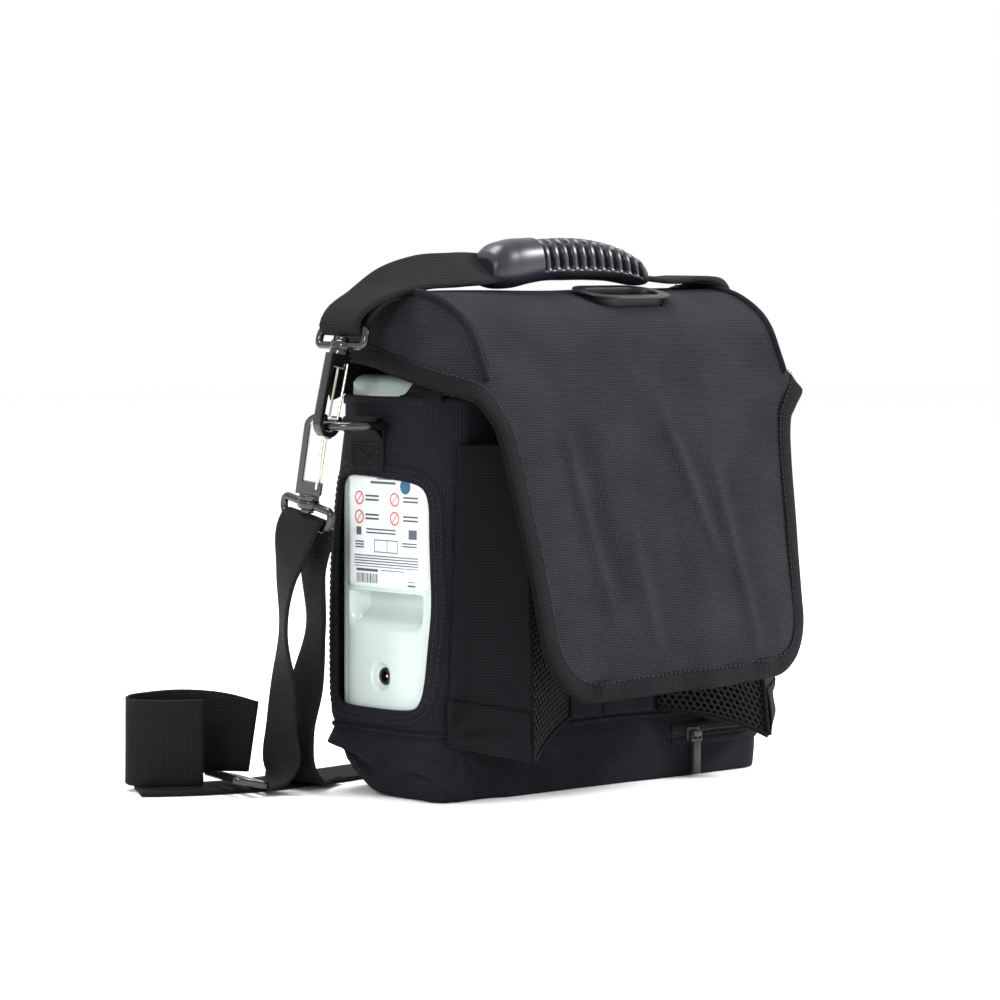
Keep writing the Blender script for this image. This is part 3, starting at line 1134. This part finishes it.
# webbing tabs that hold the D-rings: a folded strip round the bar, sewn to the wall with a box stitch
for side, s in SIDES:
    lo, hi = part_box(f"ring_tab_{side}")
    mid_y = (lo.y + hi.y) / 2
    x_wall, z_low, z_bar = s * (BAG_X + 0.0022), lo.z, RING[2]
    bar_x, r = -RING[0] * s, 0.0046
    round_it = np.radians(range(-20, 231, 25))
    profile = [(x_wall, z_low), (x_wall, z_bar - 0.010)]
    profile += [(bar_x - s * r * math.cos(a), z_bar + r * math.sin(a)) for a in round_it]
    profile += [(x_wall + s * 0.0019, z_bar - 0.0095), (x_wall + s * 0.0018, z_low)]
    path = resample([(x, mid_y, z) for x, z in profile], 0.002)
    square = frames_along(path, np.array([0, 1.0, 0]))
    tab = sweep(f"ring_web_{side}", path, *square, flat_section(0.032, 0.0017))
    dress(tab, "webbing", f"ring_tab_{side}")
    hy, z0, z1 = 0.0125, z_low + 0.003, z_bar - 0.012
    cross = np.array([(-hy, z0), (hy, z0), (hy, z1), (-hy, z1), (-hy, z0), (hy, z1), (hy, z0), (-hy, z1)])
    yz = np.vstack([a + (b - a) * k / 8 for a, b in zip(cross, cross[1:]) for k in range(8)])
    sewn = np.column_stack([np.full(len(yz), x_wall + s * 0.0029), yz[:, 0] + mid_y, yz[:, 1]])
    stitches(f"tab_stitches_{side}", sewn, (float(s), 0.0, 0.0), "webbing")

# ---- grip
# x, top and underside heights and half width, in mm
GRIP = [(-76, 341, 327, 10), (-74, 344.5, 326, 12.2), (-70, 348, 325, 14), (-56, 352.5, 324.5, 16),
        (-36, 354, 325.5, 16), (-22, 354.5, 326, 15), (0, 355.2, 326.4, 15), (24, 354, 326.4, 15),
        (46, 350, 325.5, 15), (62, 344.5, 323.6, 14.5), (70, 339, 322.6, 13.4), (75, 333.5, 322.6, 11),
        (77, 330, 323, 9)]
RIB_X0, RIB_X1, RIBS = -0.0285, 0.0605, 11
GRIP_COLS = 72


def cap_grip(bm):
    bm.verts.ensure_lookup_table()
    for face in end_caps(len(bm.verts) // GRIP_COLS, GRIP_COLS):
        bm.faces.new([bm.verts[i] for i in face])


def grip_ring(x, top, low, half):
    """One ring of the grip: a squarish oval with grooves between crescent ribs on its upper side."""
    turn = np.linspace(0, 2 * math.pi, GRIP_COLS, endpoint=False)
    ca, sa = np.cos(turn), np.sin(turn)
    py, pz = np.copysign(np.abs(ca) ** 0.82, ca), np.copysign(np.abs(sa) ** 0.9, sa)
    lean = 0.0022 * (pz - 1.1 * pz**2)  # the ribs are crescents, leaning along the grip
    phase = (x + lean - RIB_X0) / (RIB_X1 - RIB_X0)
    ribbed_part = ramp(phase, -0.012, 0.012) * ramp(1 - phase, -0.012, 0.012)
    groove = (1 - ramp(0.5 - 0.5 * np.cos(2 * math.pi * phase * RIBS), 0.22, 0.72)) * ribbed_part
    lip = 0.0006 * bell(pz + 0.56, 0.09) * ribbed_part
    cut = (0.0055 * groove + 0.0012 * ribbed_part) * ramp(pz, -0.52, -0.34)
    k = 1 - (cut - lip) / 0.0145
    z = (top + low) / 2 + (top - low) / 2 * pz * np.where(pz > 0, k, 1)
    return np.column_stack([np.full(GRIP_COLS, x), GRIP_Y + half * py * k, z])


grip_rows = np.array([(0.92 * x, 0, 0, t, b - 3.2 * ramp(-x, 20, 60), w) for x, t, b, w in GRIP], float) * MM
grip_rings = [grip_ring(x, top, low, half) for x, _, _, top, low, half in resample(grip_rows, 0.0007)]
grip = edit_mesh(grid("grip_body", grip_rings, close_cols=True), cap_grip, even_normals)
dress(grip, "grip", "handle_grip", "handle")

# ---- concentrator housing
U_X, U_Y = unit_hi.x, unit_hi.y
BOW, U_R = 0.008, 0.014
BOW_R = (U_Y**2 + BOW**2) / (2 * BOW)
SCOOP_TOP, SCOOP_LOW, SCOOP_IN, SCOOP_HY = 0.1302, 0.1045, 0.0135, 0.036


def end_x(y):
    """Half length of the housing's left end at depth y; it pillows out into the bag's window."""
    return 0.131 + 0.0135 * (1 - (np.abs(y) / U_Y) ** 6)


def far_end_x(y):
    """Half length of the right end at depth y, a plain bow."""
    return U_X - BOW_R + np.sqrt(BOW_R**2 - y**2)


def scoop_depth(y, z):
    """The finger scoop under the label: a sharp roof and a sloping ledge."""
    across = ramp(SCOOP_HY - np.abs(y), 0.0, 0.009)
    roof = ramp(SCOOP_TOP - z, 0.0, 0.0022)
    ledge = ramp(z, SCOOP_LOW, 0.1215)
    return SCOOP_IN * across * roof * ledge


def jack_depth(y, z):
    d = np.hypot(y - JACK.y, z - JACK.z)
    return 0.0042 * ramp(0.0092 - d, 0.0, 0.0028)


LAST_Y = U_Y - U_R * 0.75  # where the ends turn into the rounded upright corners


def half_outline(length_at, sign):
    """One end of the housing in plan, from the back side round the end to the front side."""
    x_edge = length_at(LAST_Y)
    turn_in = [
        (x_edge - U_R * 0.9 * (1 - math.cos(t)), LAST_Y + U_R * 0.75 * math.sin(t))
        for t in np.linspace(math.pi / 2, 0.12, 10)
    ]
    end = [(length_at(y), y) for y in np.linspace(LAST_Y, -LAST_Y, 84)]
    return [(sign * x, y) for x, y in turn_in + end + [(x, -y) for x, y in turn_in[::-1]]]


left_half, right_half = half_outline(end_x, -1), half_outline(far_end_x, 1)[::-1]
front_line = [(x, -U_Y) for x in np.linspace(left_half[-1][0], right_half[0][0], 40)[1:-1]]
back_line = [(x, U_Y) for x in np.linspace(right_half[-1][0], left_half[0][0], 40)[1:-1]]
outline = np.array(left_half + front_line + right_half + back_line)
on_left = (outline[:, 0] < -0.12) & (np.abs(outline[:, 1]) < U_Y - 0.008)
z_rows = np.r_[
    np.arange(unit_lo.z + 0.0003, SCOOP_LOW, 0.0013),
    np.arange(SCOOP_LOW, SCOOP_TOP - 0.0026, 0.001),
    np.linspace(SCOOP_TOP - 0.0026, SCOOP_TOP + 0.0004, 9),
    np.arange(SCOOP_TOP + 0.0025, unit_hi.z, 0.004),
    [unit_hi.z],
]
rows = np.array([np.column_stack([outline, np.full(len(outline), z)]) for z in z_rows])
dished = scoop_depth(rows[..., 1], rows[..., 2]) + jack_depth(rows[..., 1], rows[..., 2])
rows[..., 0] += np.where(on_left, dished, 0)


def in_socket_or_grille(c):
    if c.x < -0.1 and math.hypot(c.y - JACK.y, c.z - JACK.z) < 0.0051:
        return True
    return c.x > 0.12 and grille_lo.y < c.y < grille_hi.y and grille_lo.z < c.z < grille_hi.z


housing = grid("housing_shell", rows, close_cols=True)
edit_mesh(housing, without_faces(in_socket_or_grille), even_normals)
face_out(housing, lambda c: c)
housing = modify(housing, "SOLIDIFY", thickness=0.0022, offset=-1.0)
dress(smooth_by_angle(housing, 50), "unit", "unit_housing")


def on_end(y, z, lift):
    """Points on the housing's left end, lifted off it."""
    y, z = np.asarray(y, float), np.asarray(z, float)
    return np.stack([-end_x(y) - lift, y, z], axis=-1)


# the socket's barrel stands in the dished recess, with the pin's tip in its bore
face_x = -end_x(JACK.y) + 0.0040
BARREL = [(-0.5, 3.3), (-0.5, 5.4), (0.2, 5.8), (4.2, 5.8), (4.2, 3.3), (1.2, 3.1)]  # x and radius, in mm
spin = np.linspace(0, 2 * math.pi, 32, endpoint=False)
rows = [
    [(face_x + x * MM, JACK.y + r * MM * math.cos(t), JACK.z + r * MM * math.sin(t)) for t in spin]
    for x, r in BARREL + BARREL[:1]
]
dress(grid("power_socket_barrel", rows, close_cols=True), "socket")
tip = [(face_x + x, JACK.y, JACK.z) for x in (0.0008, 0.0022, 0.0075)]
dress(tube("power_socket_pin_tip", tip, 0.00125, 12), "contact")

# label film with generic marks: rings, a disc, bars and blocks, no lettering
gy, gz = np.meshgrid(np.linspace(-0.040, 0.036, 24), np.linspace(0.1325, 0.2035, 24))
label = modify(grid("label_film", on_end(gy, gz, 0.00015)), "SOLIDIFY", thickness=0.00018, offset=0.0)
dress(label, "label")
MARK_LIFT = 0.00035


def rings(name, material, places, r, width):
    """Printed rings at y, z, each crossed by a bar; a ring as wide as its radius is a disc."""
    verts, faces = [], []
    n, e = 28, r * 0.68
    for y, z in places:
        start = len(verts)
        for t in np.arange(n) * 2 * math.pi / n:
            verts += [on_end(y + q * math.cos(t), z + q * math.sin(t), MARK_LIFT) for q in (r, r - width)]
        for k in range(n):
            a, b = start + 2 * k, start + 2 * ((k + 1) % n)
            faces.append((a, b, b + 1, a + 1))
        if width < r:
            faces.append(tuple(range(len(verts), len(verts) + 4)))
            slant = ((-e, e - 0.0003), (-e + 0.0006, e), (e, -e + 0.0003), (e - 0.0006, -e))
            verts += [on_end(y + dy, z + dz, 0.0004) for dy, dz in slant]
    return printed(name, material, verts, faces)


def bars(name, material, boxes):
    """Printed bars from y0 to y1 and z0 to z1, in mm."""
    verts, faces = [], []
    for y0, y1, z0, z1 in np.array(boxes) / 1000:
        n = max(2, int(abs(y1 - y0) / 0.003) + 1)
        start = len(verts)
        for y in np.linspace(y0, y1, n):
            verts += [on_end(y, z0, MARK_LIFT), on_end(y, z1, MARK_LIFT)]
        faces += [(a, a + 2, a + 3, a + 1) for a in range(start, start + 2 * n - 2, 2)]
    return printed(name, material, verts, faces)


def printed(name, material, verts, faces):
    o = edit_mesh(piece(name, verts, faces, smooth=False), even_normals)
    face_out(o, lambda c: (-1, 0, 0))
    return dress(o, material)


ring_places = [(y, z) for y in (0.023, -0.011) for z in (0.189, 0.177)]
rings("label_rings", "red", ring_places, 0.0044, 0.0009)
rings("label_disc", "blue", ((-0.021, 0.1975),), 0.0048, 0.0048)
MARKS = [(y0, y1, z, z + 1.2) for y0, y1 in ((4, 17), (-32, -19)) for z in (190, 187.5, 178, 175.5)]
MARKS += [(-12, 12, 198.5, 200), (-12, 16, 169, 169.9), (-12, 16, 166.8, 167.7)]
MARKS += [(21, 26, 165.5, 170.5), (-31, -24, 164.5, 170.5)]
MARKS += [(y, y + 0.5, 155.5, 162.5) for y in (-14, 8, -4)]
MARKS += [(-14, 8.5, 162.5, 163.1), (-14, 8.5, 154.9, 155.5)]
MARKS += [(-32, 28, z, z + 0.7) for z in (152.2, 150.5, 148.8, 147.1)]
MARKS += [(-32, 28, 145.5, 146), (5, 26, 142.5, 144.2), (-20, 2, 143.4, 143.9)]
MARKS += [(18.5, 27, z, z + 0.9) for z in (160.8, 159, 157.2)]
MARKS += [(-31, -18, z, z + 0.9) for z in (161.2, 159.4)] + [(-8, 6, 201.3, 202.1)]
stripe_y = 26.0
for w in (0.5, 1.0, 0.5, 0.8, 1.3, 0.5, 0.5, 1.0, 0.6, 1.2, 0.5, 0.8, 0.5, 1.0):
    MARKS.append((stripe_y - w, stripe_y, 135.2, 141.2))
    stripe_y -= w + 0.75
MARKS += [(-30, -23, 134.5, 135.7), (-29.5, -23.5, 137.2, 137.8)]
bars("label_marks", "ink", MARKS)

# ---- floor, light, camera
floor = piece("floor", [(-6, -6, 0), (6, -6, 0), (6, 6, 0), (-6, 6, 0)], [(0, 1, 2, 3)], smooth=False)
floor_paint, nt, b = shader("pale_floor", (0.93, 0.93, 0.93), 0.9)
tone(nt, b, cloud(nt, place(nt, "Object"), 0.8), (1, 1, 1), 0.965, 0.975)
floor.data.materials.append(floor_paint)

bpy.context.scene.view_settings.view_transform = "Standard"
world = bpy.data.worlds.new("studio")
bpy.context.scene.world = world
world.use_nodes = True
background = world.node_tree.nodes["Background"].inputs
background["Color"].default_value = (1, 1, 1, 1)
background["Strength"].default_value = 1.0


def aimed(name, data, at, aim):
    """A light or camera object that looks from at to aim."""
    o = bpy.data.objects.new(name, data)
    o.location = at
    o.rotation_euler = (Vector(aim) - Vector(at)).to_track_quat("-Z", "Y").to_euler()
    bpy.context.scene.collection.objects.link(o)
    return o


for name, at, size, power in (
    ("key_right", (1.9, -1.5, 1.5), 0.8, 110),
    ("fill_left", (-2.3, -0.9, 1.1), 0.7, 19),
    ("top_soft", (-0.3, 0.7, 2.2), 1.2, 55),
):
    lamp = bpy.data.lights.new(name, "AREA")
    lamp.energy, lamp.shape, lamp.size = power, "DISK", size
    aimed(name, lamp, at, (0, 0, 0.17))

lens = bpy.data.cameras.new("camera")
lens.lens, lens.sensor_width = 151.2, 36.0
lens.clip_start, lens.clip_end = 0.05, 50
bpy.context.scene.camera = aimed("camera", lens, (-1.8971, -1.9904, 0.3487), (-0.0364, 0.0079, 0.1836))
